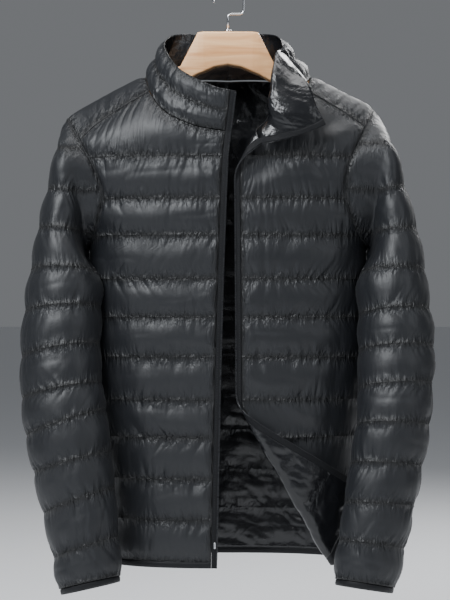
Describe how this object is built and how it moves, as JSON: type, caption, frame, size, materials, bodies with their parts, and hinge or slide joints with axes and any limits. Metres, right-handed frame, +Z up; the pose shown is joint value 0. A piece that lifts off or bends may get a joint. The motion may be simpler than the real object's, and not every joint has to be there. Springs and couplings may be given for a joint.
{
  "type": "down jacket on a hanger",
  "caption": "Light quilted down jacket, open at the front, hanging on a wooden hanger with a wire hook.",
  "frame": {"origin": "inner top of the hanger's hook, where a rail or peg holds it", "axes": "+Z up, +X to the viewer's right as the open front is looked at, +Y away from the viewer to the jacket's back"},
  "size_m": [0.5655, 0.2416, 0.8425],
  "materials": {
    "shell": "satin",
    "binding": "matte",
    "tape": "matte",
    "pin": "satin",
    "wood": "satin lacquer",
    "steel": "polished"
  },
  "bodies": {
    "root": {"front_left": "shell", "front_right": "shell", "back": "shell", "yoke_left": "shell", "yoke_right": "shell", "collar": "shell", "sleeve_left": "shell", "sleeve_right": "shell", "hem_binding": "binding", "cuff_left": "binding", "cuff_right": "binding", "zip_tape_left": "tape", "zip_tape_right": "tape", "zip_pin": "pin", "hanger": "wood", "hook": "steel"}
  },
  "joints": []
}
